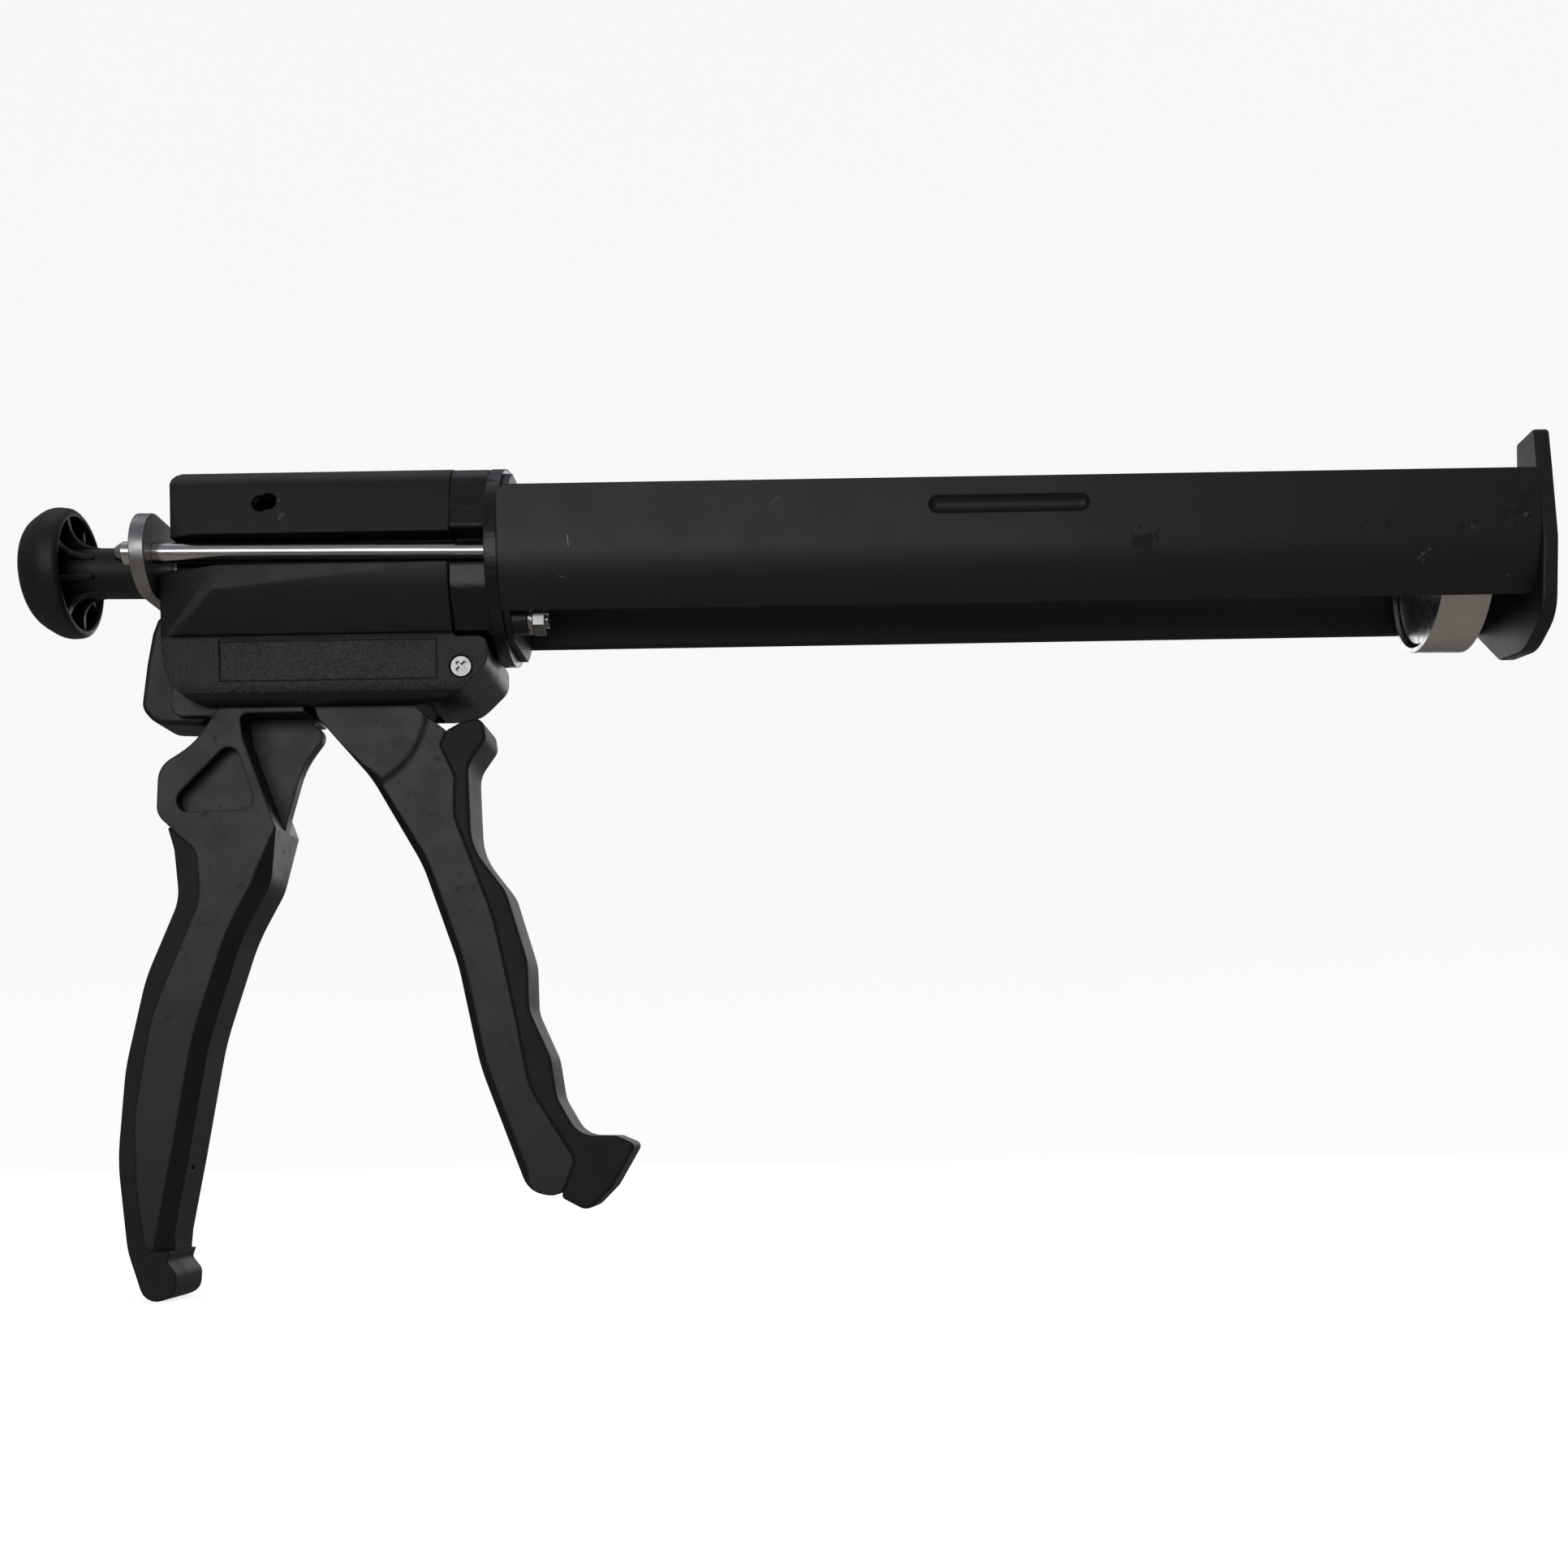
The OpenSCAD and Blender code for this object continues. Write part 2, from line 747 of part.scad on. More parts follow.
module trigger_grip() {
    color(soft_black) side_plate(outline(trigger_grip_corners), -trigger_t / 2 + 0.5,
        trigger_t / 2 - 0.5);
}

module trigger_bushes() {
    color("tan") for (side = [-1, 1]) difference() {
        bar_y(5 + run_gap, pivot_x, pivot_z, side * 7.5 - 3, side * 7.5 + 3);
        bar_y(pivot_r + run_gap, pivot_x, pivot_z, -12, 12);
    }
}

module trigger_sleeve() {
    color(zinc) difference() {
        bar_y(pivot_r, pivot_x, pivot_z, -hub_out, hub_out);
        bar_y(2, pivot_x, pivot_z, -16, 16);
    }
}

// Two steel plates that bite on the drive rod when the trigger pushes them
module grip_plates() {
    color(zinc) for (i = [0, 1]) difference() {
        block([grip_x + i * plate_pair_t / 2, -10, -9],
            [grip_x + (i + 1) * plate_pair_t / 2 - 0.02, 10, 16]);
        leaning() bar_x(drive_rod_r + 0.35, grip_x - 5, grip_x + 12);
    }
}

module drive_spring() {
    color(zinc) leaning() coil(grip_x + plate_pair_t, -9.2, 6.6, 0.8, 6);
}

// ---------- brake ----------

module brake_plate() {
    color(zinc) difference() {
        union() {
            block([brake_pivot[0] - 1.5, -8.5, -16], [brake_pivot[0] + 1.5, 8.5, brake_pivot[1]]);
            bar_y(eye_r, brake_pivot[0], brake_pivot[1], -8.5, 8.5);
        }
        leaning() bar_x(drive_rod_r + 0.7, -90, -60);
        bar_y(1.5 + run_gap, brake_pivot[0], brake_pivot[1], -12, 12);
    }
}

module brake_pin() {
    color(zinc) bar_y(1.5, brake_pivot[0], brake_pivot[1], -12, 12);
}

module brake_spring() {
    color(zinc) leaning() coil(-67, -50.2, 5.6, 0.7, 4);
}

module release_lever() {
    color(black) difference() {
        side_plate(outline(release_corners), -8.3, 8.3);
        bar_y(2 + run_gap, release_pivot[0], release_pivot[1], -12, 12);
    }
}

module release_pin() {
    color(zinc) bar_y(2, release_pivot[0], release_pivot[1], -release_pin_y, release_pin_y);
}

handle_frame();
handle_grip();
side_cover_right();
side_cover_left();
front_collar();
cover_screws();
rod_bush_front();
rod_bush_rear();
cradle_wall_right();
cradle_wall_left();
cradle_rear_plate();
cradle_spacers();
cradle_washers();
cradle_bolts();
cradle_nuts();
front_plate();
trigger_sleeve();
release_pin();
brake_pin();
drive_spring();
brake_spring();
drive_rod();
side_rod_right();
side_rod_left();
yoke_plate();
knob_shaft();
pull_knob();
piston_ring();
piston_disc();
piston_nut();
trigger_lever();
trigger_grip();
trigger_bushes();
grip_plates();
brake_plate();
release_lever();
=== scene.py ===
"""Looks of the dual-rod cartridge gun: finishes, sloped and softened edges, studio and camera."""
import json
import math

import bmesh
import bpy
from mathutils import Matrix, Vector

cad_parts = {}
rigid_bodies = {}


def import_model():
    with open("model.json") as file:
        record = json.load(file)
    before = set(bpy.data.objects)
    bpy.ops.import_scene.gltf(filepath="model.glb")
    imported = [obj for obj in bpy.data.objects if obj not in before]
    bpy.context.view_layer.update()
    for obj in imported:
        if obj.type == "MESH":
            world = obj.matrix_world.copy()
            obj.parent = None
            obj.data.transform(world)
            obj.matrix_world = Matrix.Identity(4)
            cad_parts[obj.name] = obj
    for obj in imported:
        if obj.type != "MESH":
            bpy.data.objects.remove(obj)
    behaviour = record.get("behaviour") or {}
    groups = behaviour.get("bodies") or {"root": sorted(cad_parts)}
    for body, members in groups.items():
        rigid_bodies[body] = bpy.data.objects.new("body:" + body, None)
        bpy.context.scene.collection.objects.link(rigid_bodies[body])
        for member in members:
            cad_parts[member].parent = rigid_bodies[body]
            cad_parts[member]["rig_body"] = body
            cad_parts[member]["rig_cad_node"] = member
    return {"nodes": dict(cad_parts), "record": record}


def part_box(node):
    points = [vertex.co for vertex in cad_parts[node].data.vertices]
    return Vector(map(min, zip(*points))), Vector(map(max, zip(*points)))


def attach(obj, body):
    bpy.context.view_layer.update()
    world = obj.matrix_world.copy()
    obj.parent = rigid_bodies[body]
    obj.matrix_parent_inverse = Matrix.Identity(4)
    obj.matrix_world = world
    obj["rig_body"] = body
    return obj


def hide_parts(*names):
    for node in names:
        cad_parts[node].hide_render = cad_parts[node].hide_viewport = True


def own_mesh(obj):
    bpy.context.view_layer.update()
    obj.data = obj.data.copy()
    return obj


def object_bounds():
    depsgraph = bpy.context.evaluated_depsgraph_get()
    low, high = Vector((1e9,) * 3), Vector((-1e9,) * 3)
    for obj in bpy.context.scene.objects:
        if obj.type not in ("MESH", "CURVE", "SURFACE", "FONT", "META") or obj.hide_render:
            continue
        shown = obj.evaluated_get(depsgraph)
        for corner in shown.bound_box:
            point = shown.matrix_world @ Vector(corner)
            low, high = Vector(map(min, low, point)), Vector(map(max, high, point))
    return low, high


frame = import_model()
cad_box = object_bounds()
NODES = frame["nodes"]
MM = 0.001
WELD = 0.002 * MM


# ---------- materials ----------

class Finish:
    """One procedural material, built step by step and closed by done().

    Sizes are in millimetres of the object's own space. A mask is a value from 0 to 1. `edge`
    rounds the shading of sharp edges by that many millimetres.
    """

    def __init__(self, name, colour, rough, metal=0.0, specular=0.5, edge=0.0):
        self.mat = bpy.data.materials.new(name)
        self.mat.use_nodes = True
        self.tree = self.mat.node_tree
        self.shader = self.tree.nodes["Principled BSDF"]
        self.shader.inputs["Metallic"].default_value = metal
        self.shader.inputs["Specular IOR Level"].default_value = specular
        self.place = self.add("ShaderNodeTexCoord").outputs["Object"]
        self.colour = (*colour, 1)
        self.rough = rough
        self.normal = None
        if edge:
            rounded = self.add("ShaderNodeBevel", Radius=edge * MM)
            rounded.samples = 4
            self.normal = rounded.outputs[0]

    def add(self, kind, **inputs):
        """A new node with values or sockets on the inputs named."""
        node = self.tree.nodes.new(kind)
        for key, value in inputs.items():
            self.put(node.inputs[key.replace("_", " ")], value)
        return node

    def put(self, socket, value):
        if isinstance(value, bpy.types.NodeSocket):
            self.tree.links.new(value, socket)
        else:
            socket.default_value = value

    def maths(self, operation, a, b=0.0, clamp=False):
        node = self.add("ShaderNodeMath")
        node.operation = operation
        node.use_clamp = clamp
        self.put(node.inputs[0], a)
        self.put(node.inputs[1], b)
        return node.outputs[0]

    def noise(self, size, detail=3.0, stretch=(1, 1, 1), shift=0.0):
        """Noise with features about `size` mm across, longer where `stretch` is small."""
        spot = self.add("ShaderNodeMapping", Vector=self.place, Scale=stretch,
                        Location=(shift, shift * 0.7, shift * 1.3))
        node = self.add("ShaderNodeTexNoise", Vector=spot.outputs[0],
                        Scale=1 / (size * MM), Detail=detail, Roughness=0.55)
        return node.outputs["Fac"]

    def between(self, value, low, high):
        """0 below low, 1 above high, smooth in between."""
        node = self.add("ShaderNodeMapRange")
        node.interpolation_type = "SMOOTHSTEP"
        self.put(node.inputs["Value"], value)
        node.inputs["From Min"].default_value = low
        node.inputs["From Max"].default_value = high
        return node.outputs["Result"]

    def falls(self, value, low, high):
        """1 below low, 0 above high, smooth in between."""
        return self.maths("SUBTRACT", 1.0, self.between(value, low, high))

    def axis(self, index):
        """The position along X, Y or Z."""
        split = self.add("ShaderNodeSeparateXYZ", Vector=self.place)
        return split.outputs[index]

    def vector(self, operation, a, fixed=None):
        """Vector maths on a socket, with a fixed second vector where it takes one."""
        node = self.add("ShaderNodeVectorMath")
        node.operation = operation
        self.put(node.inputs[0], a)
        if fixed is not None:
            node.inputs[1].default_value = fixed
        return node.outputs["Value" if operation in ("DOT_PRODUCT", "LENGTH") else "Vector"]

    def near_side(self, mask):
        """The mask on the right side only, which is the one in the main view."""
        return self.maths("MULTIPLY", mask, self.maths("LESS_THAN", self.axis(1), 0.0))

    def window(self, index, low, high, soft):
        """1 between two positions (mm) along an axis, fading over `soft` mm."""
        here = self.axis(index)
        rise = self.between(here, (low - soft) * MM, low * MM)
        return self.maths("MULTIPLY", rise, self.falls(here, high * MM, (high + soft) * MM))

    def blend(self, mask, colour):
        """Lays a colour over the present one where the mask is 1."""
        node = self.add("ShaderNodeMix")
        node.data_type = "RGBA"
        factor, _, _, _, _, _, below, above = node.inputs[:8]
        self.put(factor, mask)
        self.put(below, self.colour)
        self.put(above, (*colour, 1))
        self.colour = node.outputs[2]

    def mottle(self, size, amount, detail=4.0):
        """Lightens and darkens the colour in soft patches."""
        swing = self.maths("MULTIPLY", self.maths("SUBTRACT", self.noise(size, detail), 0.5),
                           2 * amount)
        node = self.add("ShaderNodeHueSaturation", Value=self.maths("ADD", 1.0, swing))
        self.put(node.inputs["Color"], self.colour)
        self.colour = node.outputs[0]

    def roughen(self, mask, amount):
        """Adds to the roughness where the mask is 1."""
        self.rough = self.maths("ADD", self.rough, self.maths("MULTIPLY", mask, amount), True)

    def bump(self, height, depth):
        """Relief of `depth` mm driven by a height from 0 to 1."""
        node = self.add("ShaderNodeBump", Height=height, Strength=1.0)
        node.inputs["Distance"].default_value = depth * MM
        if self.normal is not None:
            self.put(node.inputs["Normal"], self.normal)
        self.normal = node.outputs[0]

    def scratch(self, start, end, width, colour):
        """A thin pale line between two [x, z] points (mm) on the right side."""
        (x0, z0), (x1, z1) = start, end
        length = math.hypot(x1 - x0, z1 - z0)
        ux, uz = (x1 - x0) / length, (z1 - z0) / length
        fade = 0.6
        here = self.vector("SUBTRACT", self.place, (x0 * MM, 0, z0 * MM))
        along = self.vector("DOT_PRODUCT", here, (ux, 0, uz))
        across = self.maths("ABSOLUTE", self.vector("DOT_PRODUCT", here, (-uz, 0, ux)))
        wobble = self.maths("MULTIPLY", self.noise(1.5), 0.6 * width * MM)
        line = self.falls(self.maths("ADD", across, wobble), 0.4 * width * MM, width * MM)
        reach = self.maths("MULTIPLY", self.between(along, 0, fade * MM),
                           self.falls(along, (length - fade) * MM, length * MM))
        mask = self.near_side(self.maths("MULTIPLY", line, reach))
        self.blend(self.maths("MULTIPLY", mask, 0.8), colour)

    def spot(self, x, z, size, ragged=0.8):
        """1 inside a ragged spot of `size` mm about [x, z] on the right side."""
        here = self.vector("SUBTRACT", self.place, (x * MM, 0, z * MM))
        far = self.vector("LENGTH", self.vector("MULTIPLY", here, (1, 0, 1)))
        swing = self.maths("SUBTRACT", self.noise(size * 0.8, 4), 0.5)
        wobble = self.maths("MULTIPLY", swing, 4 * ragged * size * MM)
        reach = self.maths("ADD", far, wobble)
        return self.near_side(self.falls(reach, 0.5 * size * MM, 0.62 * size * MM))

    def spots(self, places, ragged=0.8):
        """1 inside any of several spots, each [x, z, size]."""
        mask = self.spot(*places[0], ragged)
        for place in places[1:]:
            mask = self.maths("MAXIMUM", mask, self.spot(*place, ragged))
        return mask

    def outline(self, low, high, width):
        """1 on the line of `width` mm round a rectangle from [x, z] low to high, on both sides."""
        distances = []
        for index, axis in ((0, 0), (1, 2)):
            middle = (low[index] + high[index]) / 2 * MM
            half = (high[index] - low[index]) / 2 * MM
            offset = self.maths("ABSOLUTE", self.maths("SUBTRACT", self.axis(axis), middle))
            distances.append(self.maths("SUBTRACT", offset, half))
        away = self.maths("ABSOLUTE", self.maths("MAXIMUM", *distances))
        return self.falls(away, 0.3 * width * MM, width * MM)

    def done(self):
        """Joins the colour, roughness and relief to the shader."""
        self.put(self.shader.inputs["Base Color"], self.colour)
        self.put(self.shader.inputs["Roughness"], self.rough)
        if self.normal is not None:
            self.put(self.shader.inputs["Normal"], self.normal)
        return self.mat


def plastic(name, colour, rough, grain, depth, specular=0.5, edge=0.8):
    """Moulded plastic: fine grain, faint mould marks, dust and handling wear."""
    f = Finish(name, colour, rough, specular=specular, edge=edge)
    f.mottle(28, 0.15)
    f.mottle(0.9, 0.10, 2)
    f.roughen(f.between(f.noise(9, 5), 0.35, 0.75), 0.08)
    dust = f.between(f.noise(0.7, 2, shift=0.3), 0.72, 0.80)
    f.blend(f.maths("MULTIPLY", dust, 0.10), (0.16, 0.155, 0.15))
    f.bump(f.noise(grain, 3), depth)
    f.bump(f.noise(14, 2, shift=0.9), 0.05)
    return f


def cover_plastic():
    """Satin upper block and bulge; the flat panel below is spark-eroded and a little paler."""
    f = plastic("cover_plastic", (0.0105, 0.0098, 0.0095), 0.42, 0.45, 0.012)
    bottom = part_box("side_cover_right")[0].z / MM
    panel_top, panel_face = -22.0, 16.2
    outer = f.maths("GREATER_THAN", f.maths("ABSOLUTE", f.axis(1)), panel_face * MM)
    panel = f.maths("MULTIPLY", f.window(2, bottom, panel_top, 0.3), outer)
    speck = f.noise(0.5, 3, shift=0.5)
    f.blend(f.maths("MULTIPLY", panel, f.between(speck, 0.30, 0.70)), (0.064, 0.066, 0.070))
    f.roughen(panel, 0.16)
    f.bump(f.maths("MULTIPLY", panel, speck), 0.07)
    # A fine groove rings the panel: its line is painted near black as painted shade in the groove,
    # and pressed in with a bump
    line = f.maths("MULTIPLY", panel, f.outline((-74.4, -33.4), (-17, -22.9), 0.28))
    f.blend(f.maths("MULTIPLY", line, 0.8), (0.004, 0.004, 0.004))
    f.bump(f.maths("SUBTRACT", 1.0, line), 0.12)
    scuff = f.maths("MAXIMUM", f.spot(-57.5, 13.4, 1.1), f.spot(-56.5, 9.2, 1.5, 1.3))
    f.blend(f.maths("MULTIPLY", scuff, 0.6), (0.12, 0.12, 0.12))
    return f.done()


def collar_plastic():
    """Glossier moulding with shallow sink waves that break up its highlights."""
    f = plastic("collar_plastic", (0.0085, 0.0080, 0.0080), 0.27, 0.5, 0.002, 0.5)
    f.bump(f.noise(5, 2, (1, 1, 1.6)), 0.16)
    return f.done()


def casting():
    """Glass-filled plastic of the handle and trigger: satin, with faint flow lines."""
    f = plastic("black_casting", (0.0135, 0.0135, 0.0142), 0.40, 0.45, 0.008, 0.55)
    f.bump(f.noise(6, 3, (1, 1, 0.25), 0.4), 0.03)
    f.roughen(f.between(f.noise(2.2, 3, shift=0.2), 0.62, 0.74), 0.12)
    f.blend(f.maths("MULTIPLY", f.spot(-36, -53.5, 1.0, 0.7), 0.3), (0.07, 0.07, 0.07))
    return f.done()


def soft_grip():
    """Matte over-moulded rubbery skin."""
    f = plastic("soft_grip", (0.0135, 0.0128, 0.0135), 0.58, 0.30, 0.014, 0.4)
    f.shader.inputs["Sheen Weight"].default_value = 0.06
    f.shader.inputs["Sheen Roughness"].default_value = 0.5
    return f.done()


def cradle_paint():
    """Matte powder coat with orange peel, a few scratches, and chips near the front."""
    f = Finish("cradle_steel", (0.0125, 0.0122, 0.0130), 0.44, specular=0.55, edge=0.5)
    f.mottle(40, 0.10)
    f.mottle(1.1, 0.10, 2)
    f.roughen(f.between(f.noise(18, 4), 0.4, 0.7), 0.06)
    f.bump(f.noise(0.8, 2), 0.010)
    f.bump(f.noise(0.35, 2), 0.006)
    small_chips = f.spots([
        (262.5, 3.0, 1.2), (269.2, 7.5, 1.2), (262, 8.9, 0.9), (264.5, 10.8, 1.0),
        (254.6, 0.2, 1.2), (251.3, -0.8, 1.0), (168.6, -3.4, 3.2), (171.5, -2.2, 1.5),
        (165.4, -1.2, 1.0), (241, -6.5, 1.0), (232, 0.4, 1.2), (225, -0.5, 0.8)
    ], 1.3)
    chips = f.maths("MAXIMUM", f.spot(266.6, 3.6, 3.0, 1.5), small_chips)
    f.blend(f.maths("MULTIPLY", chips, 0.75), (0.004, 0.0038, 0.0038))
    f.roughen(chips, 0.2)
    bare_dots = f.spots([(267.8, 2.2, 0.9), (254.2, -0.9, 0.8), (264.4, -12.6, 0.6)])
    bare = f.maths("MAXIMUM", f.spot(241.2, -7.6, 1.8, 1.3), bare_dots)
    f.blend(f.maths("MULTIPLY", bare, 0.5), (0.16, 0.155, 0.15))
    f.bump(f.maths("SUBTRACT", 1.0, chips), 0.08)
    f.scratch((19.2, 1.2), (19.6, -2.4), 0.32, (0.42, 0.42, 0.41))
    f.scratch((16.4, -9.2), (18.6, -9.7), 0.22, (0.25, 0.24, 0.22))
    f.scratch((71.0, 7.2), (74.6, 10.0), 0.16, (0.16, 0.16, 0.16))
    return f.done()


def bright_rod():
    """Drawn, polished bar: long fine streaks and a few rub marks where it slides."""
    f = Finish("rod_steel", (0.66, 0.655, 0.64), 0.13, metal=1.0)
    streak = f.noise(0.45, 3, (0.012, 1, 1))
    f.mottle(60, 0.06)
    f.roughen(f.between(streak, 0.35, 0.7), 0.16)
    f.bump(streak, 0.010)
    grime = f.between(f.noise(3.0, 4, (0.25, 1, 1), 0.7), 0.60, 0.72)
    f.blend(f.maths("MULTIPLY", grime, 0.35), (0.25, 0.24, 0.22))
    f.roughen(grime, 0.12)
    return f.done()


def zinc(name, colour, rough, streaky=False):
    """Bright zinc plate: satin, softly clouded, with handling marks."""
    f = Finish(name, colour, rough, metal=1.0)
    f.mottle(7, 0.12)
    f.mottle(0.6, 0.06, 2)
    f.roughen(f.between(f.noise(3.5, 5), 0.35, 0.7), 0.12)
    if streaky:
        f.bump(f.noise(0.25, 3, (1, 1, 0.08)), 0.02)
    f.bump(f.noise(0.5, 3), 0.004)
    return f.done()


def bush_plastic():
    """Pale moulded bearing plastic."""
    f = Finish("bush", (0.5, 0.47, 0.4), 0.4)
    f.mottle(3, 0.08)
    f.bump(f.noise(0.6, 3), 0.005)
    return f.done()


def knob_plastic():
    """Matte moulding with shallow sink marks."""
    f = plastic("knob_plastic", (0.0120, 0.0112, 0.0118), 0.46, 0.4, 0.008)
    f.bump(f.noise(9, 2, shift=0.2), 0.08)
    return f.done()


FINISHES = {
    "cover_plastic": cover_plastic(),
    "collar_plastic": collar_plastic(),
    "black_casting": casting(),
    "soft_grip": soft_grip(),
    "cradle_steel": cradle_paint(),
    "rod_steel": bright_rod(),
    "zinc_plate": zinc("zinc_plate", (0.40, 0.395, 0.385), 0.30, True),
    "zinc_small": zinc("zinc_small", (0.38, 0.378, 0.37), 0.26),
    "piston_steel": zinc("piston_steel", (0.66, 0.665, 0.65), 0.24),
    "pin_steel": zinc("pin_steel", (0.42, 0.42, 0.42), 0.34),
    "spring_steel": zinc("spring_steel", (0.5, 0.5, 0.48), 0.28),
    "bush": bush_plastic(),
    "knob_plastic": knob_plastic(),
    "release_plastic":
        plastic("release_plastic", (0.0125, 0.0120, 0.0125), 0.42, 0.4, 0.006).done(),
    "black_spacer":
        plastic("black_spacer", (0.010, 0.010, 0.010), 0.4, 0.5, 0.005).done(),
}


# ---------- shape helpers ----------

def fillet(p, q, s, r, steps=6):
    """Points of the arc of radius r that rounds corner q between p and s."""
    a, b = (p - q).normalized(), (s - q).normalized()
    half = a.angle(b) / 2
    start = q + a * r / math.tan(half)
    centre = q + (a + b).normalized() * r / math.sin(half)
    arm = start - centre
    bend = (q - p).x * (s - q).y - (q - p).y * (s - q).x
    turn = math.copysign(math.pi - 2 * half, bend)
    points = []
    for i in range(steps + 1):
        angle = turn * i / steps
        points.append(centre + Vector((arm.x * math.cos(angle) - arm.y * math.sin(angle),
                                       arm.x * math.sin(angle) + arm.y * math.cos(angle))))
    return points


def open_path(corners, steps=6):
    """A path through [x, z, radius] corners, in metres, with its inner corners rounded."""
    spots = [Vector((c[0], c[1])) * MM for c in corners]
    path = [spots[0]]
    for i in range(1, len(corners) - 1):
        if corners[i][2]:
            path += fillet(spots[i - 1], spots[i], spots[i + 1], corners[i][2] * MM, steps)
        else:
            path.append(spots[i])
    return path + [spots[-1]]


def mesh_object(name, verts, faces):
    """A linked object whose face normals all point outwards."""
    mesh = bpy.data.meshes.new(name)
    mesh.from_pydata([tuple(v) for v in verts], [], faces)
    mesh.update()
    obj = bpy.data.objects.new(name, mesh)
    bpy.context.scene.collection.objects.link(obj)
    tidy = bmesh.new()
    tidy.from_mesh(mesh)
    bmesh.ops.recalc_face_normals(tidy, faces=tidy.faces)
    tidy.to_mesh(mesh)
    tidy.free()
    return obj


def edge_cutter(name, path, outward, face, depth_at, side):
    """A closed wedge along an XZ path that takes the sharp edge off a plate's face.

    `outward` is +1 if the space beyond the plate is on the path's left and -1 if it is on its
    right. `face` is the plate's half thickness, `depth_at(z)` the chamfer's size at a height,
    and `side` the sign of the face's Y.
    """
    spare = 1.5 * MM
    verts, faces = [], []
    for i, point in enumerate(path):
        ahead = path[min(i + 1, len(path) - 1)] - path[max(i - 1, 0)]
        normal = Vector((-ahead.y, ahead.x)).normalized() * outward
        size = max(depth_at(point.y), 0.02 * MM)
        for out, up in ((-size - spare, spare), (spare, spare), (spare, -size - spare)):
            spot = point + normal * out
            verts.append(Vector((spot.x, side * (face + up), spot.y)))
    for i in range(len(path) - 1):
        a, b = 3 * i, 3 * i + 3
        for j in range(3):
            k = (j + 1) % 3
            faces.append((a + j, a + k, b + k, b + j))
    faces.append((0, 1, 2))
    last = 3 * (len(path) - 1)
    faces.append((last + 2, last + 1, last))
    return mesh_object(name, verts, faces)


def cut_copy(node, name, cutters):
    """A new piece shaped like a CAD node with the cutters taken out of it."""
    source = NODES[node]
    piece = source.copy()
    piece.data = source.data.copy()
    piece.name = name
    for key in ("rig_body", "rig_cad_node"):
        if key in piece:
            del piece[key]
    bpy.context.scene.collection.objects.link(piece)
    piece.parent = None
    weld = piece.modifiers.new("Weld", "WELD")
    weld.merge_threshold = WELD
    for cutter in cutters:
        cut = piece.modifiers.new("Cut", "BOOLEAN")
        cut.operation = "DIFFERENCE"
        cut.solver = "EXACT"
        cut.object = cutter
    bpy.context.view_layer.update()
    shaped = bpy.data.meshes.new_from_object(
        piece.evaluated_get(bpy.context.evaluated_depsgraph_get()))
    piece.modifiers.clear()
    piece.data = shaped
    for cutter in cutters:
        bpy.data.objects.remove(cutter)
    return piece


def smooth(obj):
    for polygon in obj.data.polygons:
        polygon.use_smooth = True


def soften(obj, width, angle=32):
    """Smooth shading with every edge sharper than `angle` degrees rounded by `width` mm."""
    smooth(obj)
    weld = obj.modifiers.new("Weld", "WELD")
    weld.merge_threshold = WELD
    flats = obj.modifiers.new("Flats", "DECIMATE")
    flats.decimate_type = "DISSOLVE"
    flats.angle_limit = math.radians(0.1)
    edges = obj.modifiers.new("Edges", "BEVEL")
    edges.width = width * MM
    edges.segments = 3
    edges.limit_method = "ANGLE"
    edges.angle_limit = math.radians(angle)
    edges.harden_normals = True
    edges.miter_outer = "MITER_ARC"
    shade = obj.modifiers.new("Shading", "WEIGHTED_NORMAL")
    shade.keep_sharp = True


# ---------- handle and trigger with their sloped edges ----------

HANDLE_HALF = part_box("handle_grip")[1].y + 0.6 * MM
TRIGGER_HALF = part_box("trigger_bushes")[1].y

handle_front = open_path([
    [-93.6, -186, 0], [-92.2, -179.5, 0], [-88.2, -160, 90], [-82, -128, 90],
    [-72.6, -100, 60], [-64.8, -86, 18], [-61.8, -70, 0]
])
trigger_rear = open_path([
    [-46, -47.3, 0], [-37, -57.6, 30], [-23.6, -81.5, 40], [-14.6, -108, 60], [-9, -136, 60],
    [3.4, -170, 8], [12.5, -171.6, 0]
])


def ramp(value, low, high):
    """0 up to low, 1 from high, straight in between."""
    return min(max((value - low) / (high - low), 0), 1)


def handle_slope(z):
    """Size of the handle's front slope at a height."""
    return 3.7 * MM * ramp(z / MM, -70, -84)


def trigger_slope(z):
    """Size of the trigger's rear slope at a height."""
    return 3.4 * MM * ramp(z / MM, -53, -62) * ramp(z / MM, -172, -166)


handle = cut_copy("handle_frame", "handle_shaped", [
    edge_cutter("handle_cut", handle_front, -1, HANDLE_HALF, handle_slope, side)
    for side in (-1, 1)
])
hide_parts("handle_frame")
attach(handle, "frame")

trigger = cut_copy("trigger_lever", "trigger_shaped", [
    edge_cutter("trigger_cut", trigger_rear, -1, TRIGGER_HALF, trigger_slope, side)
    for side in (-1, 1)
])
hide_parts("trigger_lever")
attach(trigger, "trigger")


# ---------- knob with its ribs trimmed flush ----------

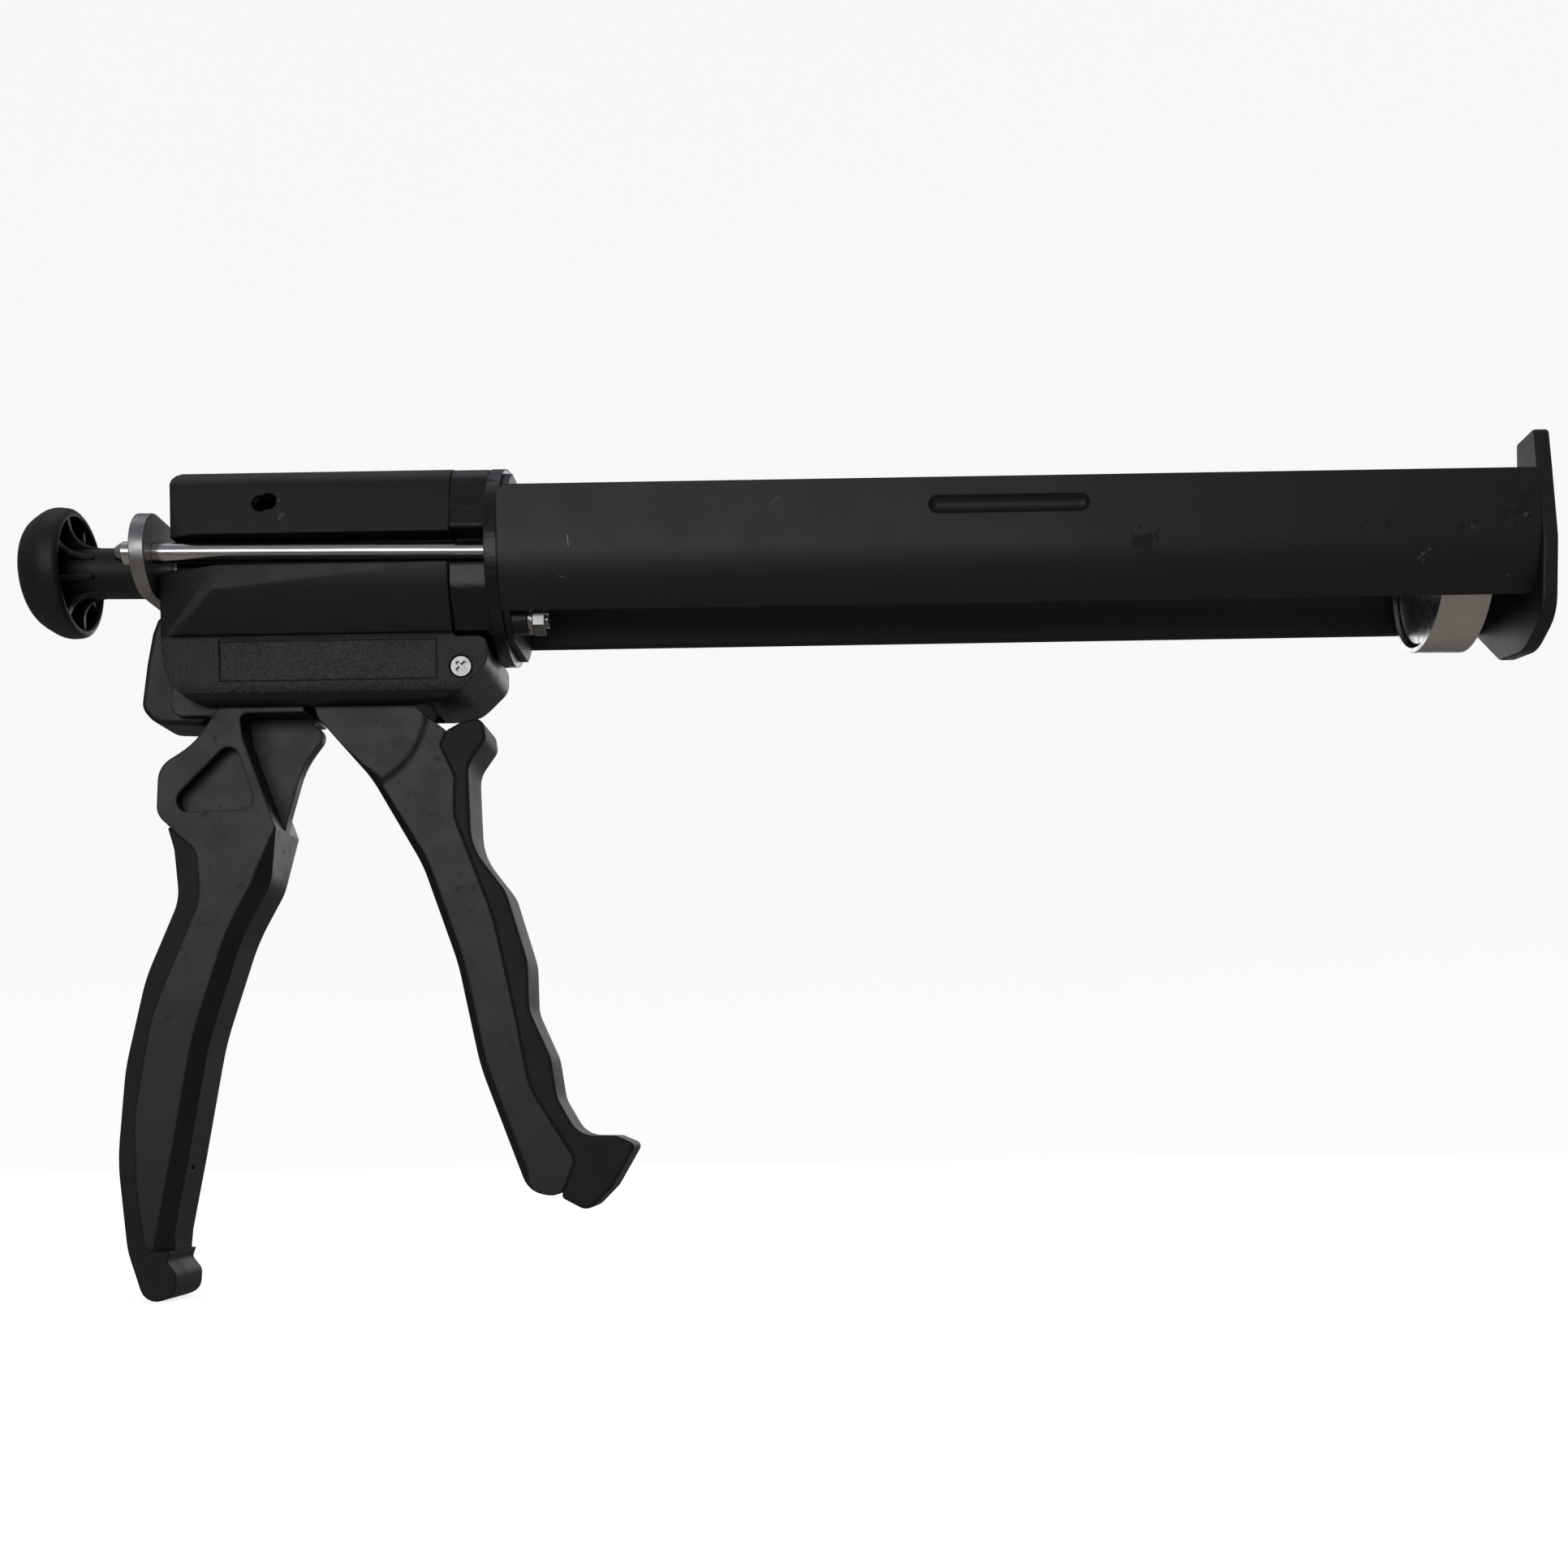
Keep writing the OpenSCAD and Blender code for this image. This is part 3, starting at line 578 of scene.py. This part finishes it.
def dome_cutter(name, rear, reach, lean):
    """Everything outside the knob's dome, turned about the plunger's leaning axis.

    `rear` is the dome's rearmost X and `reach` its radius at the shoulder, both in mm. The
    corners are [radius, X, rounding], `spare` outside the dome's own.
    """
    spare, beyond, shoulder = 0.06, 24, 8.5
    dome = open_path([
        [0, rear - spare, 0], [12.4 + spare, rear + 0.2 - spare, 9],
        [reach + spare, rear + shoulder, 0]
    ], 10)
    profile = dome + [
        Vector((beyond, rear + shoulder + 0.1)) * MM, Vector((beyond, rear - 3)) * MM,
        Vector((0, rear - 3)) * MM
    ]
    rings, sectors = len(profile), 96
    verts, faces = [], []
    for i in range(sectors):
        turn = 2 * math.pi * i / sectors
        for spot in profile:
            verts.append(lean @ Vector((spot.y, spot.x * math.cos(turn), spot.x * math.sin(turn))))
    for i in range(sectors):
        here, after = i * rings, (i + 1) % sectors * rings
        for j in range(rings - 1):
            faces.append((here + j, here + j + 1, after + j + 1, after + j))
    cutter = mesh_object(name, verts, faces)
    weld = bmesh.new()
    weld.from_mesh(cutter.data)
    bmesh.ops.remove_doubles(weld, verts=weld.verts, dist=0.001 * MM)
    bmesh.ops.recalc_face_normals(weld, faces=weld.faces)
    weld.to_mesh(cutter.data)
    weld.free()
    return cutter


# The plunger leans about a point on the cradle's axis
LEAN_ANGLE = 0.7
LEAN_POINT = Vector((-45, 0, 0)) * MM

# From the leaning knob's box, in mm, to the dome's own rear and shoulder
REAR_INSET, SHOULDER_SPARE = 0.14, 0.3

knob_low, knob_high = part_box("pull_knob")
plunger_lean = (Matrix.Translation(LEAN_POINT)
                @ Matrix.Rotation(math.radians(LEAN_ANGLE), 4, "Y")
                @ Matrix.Translation(-LEAN_POINT))
knob = cut_copy("pull_knob", "knob_shaped", [
    dome_cutter("dome_cut", knob_low.x / MM + REAR_INSET, knob_high.y / MM + SHOULDER_SPARE,
                plunger_lean)
])
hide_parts("pull_knob")
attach(knob, "plunger")


# ---------- drive spring, a plain copy fixed to the frame; in the gun the trigger compresses it ---

spring = cut_copy("drive_spring", "drive_spring_shaped", [])
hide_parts("drive_spring")
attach(spring, "frame")


# ---------- finishes on every node ----------

# Rounding of each node's edges, in mm
EDGE = {
    "handle_grip": 1.2, "trigger_grip": 1.0, "side_cover_right": 0.9, "side_cover_left": 0.9,
    "front_collar": 0.9, "release_lever": 1.4, "front_plate": 0.6, "yoke_plate": 0.35,
    "pull_knob": 0.5, "knob_shaft": 0.2, "cradle_wall_right": 0.3, "cradle_wall_left": 0.3,
    "cradle_rear_plate": 0.3, "piston_ring": 0.3, "piston_disc": 0.5, "piston_nut": 0.3,
    "cradle_nuts": 0.35, "cradle_bolts": 0.25, "cradle_washers": 0.15, "cradle_spacers": 0.3,
    "cover_screws": 0.25, "side_rod_right": 0.3, "side_rod_left": 0.3, "drive_rod": 0.3,
}

slots = {part["node"]: part["material_slot"] for part in frame["record"]["subparts"]}


def paint(obj, finish):
    """Makes a finish the object's only material."""
    obj.data.materials.clear()
    obj.data.materials.append(finish)


for name, obj in NODES.items():
    paint(obj, FINISHES[slots[name]])
    soften(obj, EDGE.get(name, 0.2))

for piece in (handle, trigger):
    paint(piece, FINISHES["black_casting"])
    soften(piece, 0.55, 28)

paint(knob, FINISHES["knob_plastic"])
soften(knob, 0.3)

paint(spring, FINISHES["spring_steel"])
smooth(spring)
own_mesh(spring)


# ---------- studio ----------

def area_light(name, place, target, size, watts, colour):
    """A rectangular soft light at a place, turned towards a target."""
    data = bpy.data.lights.new(name, "AREA")
    data.shape = "RECTANGLE"
    data.size, data.size_y = size
    data.energy = watts
    data.color = colour
    lamp = bpy.data.objects.new(name, data)
    lamp.location = place
    lamp.rotation_euler = (Vector(target) - Vector(place)).to_track_quat("-Z", "Y").to_euler()
    bpy.context.scene.collection.objects.link(lamp)


def studio_sheet():
    """A pale seamless bowl: flat under the gun, swept up on every side of it."""
    floor = cad_box[0].z
    inner, flat, bend, height = 0.7, 2.0, 0.6, 2.8
    steps, sectors = 12, 96
    profile = [(inner, 0.0), (flat, 0.0)]
    for i in range(1, steps + 1):
        angle = math.radians(90 * i / steps)
        profile.append((flat + bend * math.sin(angle), bend * (1 - math.cos(angle))))
    profile.append((flat + bend, height))
    verts = [Vector((0, 0, floor))]
    for i in range(sectors):
        turn = 2 * math.pi * i / sectors
        verts += [Vector((r * math.cos(turn), r * math.sin(turn), floor + z)) for r, z in profile]
    faces, rings = [], len(profile)
    for i in range(sectors):
        here, after = 1 + i * rings, 1 + (i + 1) % sectors * rings
        faces.append((0, here, after))
        for j in range(rings - 1):
            faces.append((here + j, here + j + 1, after + j + 1, after + j))
    sheet = mesh_object("studio_sheet", verts, faces)
    smooth(sheet)
    f = Finish("studio_paper", (0.84, 0.84, 0.84), 0.9, specular=0.1)
    f.mottle(300, 0.01)
    f.bump(f.noise(2.5), 0.01)
    f.shader.inputs["Emission Color"].default_value = (1, 1, 1, 1)
    f.shader.inputs["Emission Strength"].default_value = 0.80
    paint(sheet, f.done())
    # The sheet is lit from within like a light table, and doesn't wash out the black plastic
    sheet.visible_diffuse = False
    sheet.visible_glossy = False


studio_sheet()
gun_centre = ((cad_box[0].x + cad_box[1].x) / 2, 0, -0.06)
daylight = (0.97, 0.985, 1)
area_light("key_softbox", (-0.26, -1.25, 0.225), (0, 0, -0.045), (1.15, 0.55), 3.7, daylight)
area_light("top_strip", (0.0, 0.25, 1.1), gun_centre, (1.6, 0.5), 1.0, (0.95, 0.975, 1))
area_light("rear_softbox", (0.25, 1.25, 0.225), gun_centre, (1.25, 0.55), 3.6, daylight)


def studio_air():
    """Dim surroundings: cool above, nearly dark at the sides, a little warm light from below."""
    world = bpy.data.worlds.new("studio")
    world.use_nodes = True
    tree = world.node_tree
    coords = tree.nodes.new("ShaderNodeTexCoord")
    split = tree.nodes.new("ShaderNodeSeparateXYZ")
    shades = tree.nodes.new("ShaderNodeValToRGB")
    height = tree.nodes.new("ShaderNodeMapRange")
    height.inputs["From Min"].default_value = -1
    tree.links.new(coords.outputs["Generated"], split.inputs[0])
    tree.links.new(split.outputs["Z"], height.inputs["Value"])
    tree.links.new(height.outputs["Result"], shades.inputs["Fac"])
    tree.links.new(shades.outputs["Color"], tree.nodes["Background"].inputs["Color"])
    stops = shades.color_ramp.elements
    stops[0].position, stops[0].color = 0.10, (0.20, 0.185, 0.165, 1)
    stops[1].position, stops[1].color = 0.90, (0.22, 0.23, 0.26, 1)
    middle = stops.new(0.48)
    middle.color = (0.085, 0.08, 0.08, 1)
    return world


world = studio_air()
bpy.context.scene.world = world
bpy.context.scene.view_settings.view_transform = "Standard"


# ---------- camera ----------

# The view is square to the gun's side, from below the barrel, with the frame moved up
EYE = Vector((81.0, -489.0, -151.5)) * MM
ROLL = math.radians(0.945)
data = bpy.data.cameras.new("camera")
data.sensor_width = 36
data.lens = 41.0
data.shift_x = -0.0197
data.shift_y = 0.2133
data.clip_start = 0.01
camera = bpy.data.objects.new("camera", data)
right = Vector((math.cos(ROLL), 0, -math.sin(ROLL)))
back = Vector((0, -1, 0))
turn = Matrix((right, back.cross(right), back)).transposed().to_4x4()
camera.matrix_world = Matrix.Translation(EYE) @ turn
bpy.context.scene.collection.objects.link(camera)
bpy.context.scene.camera = camera
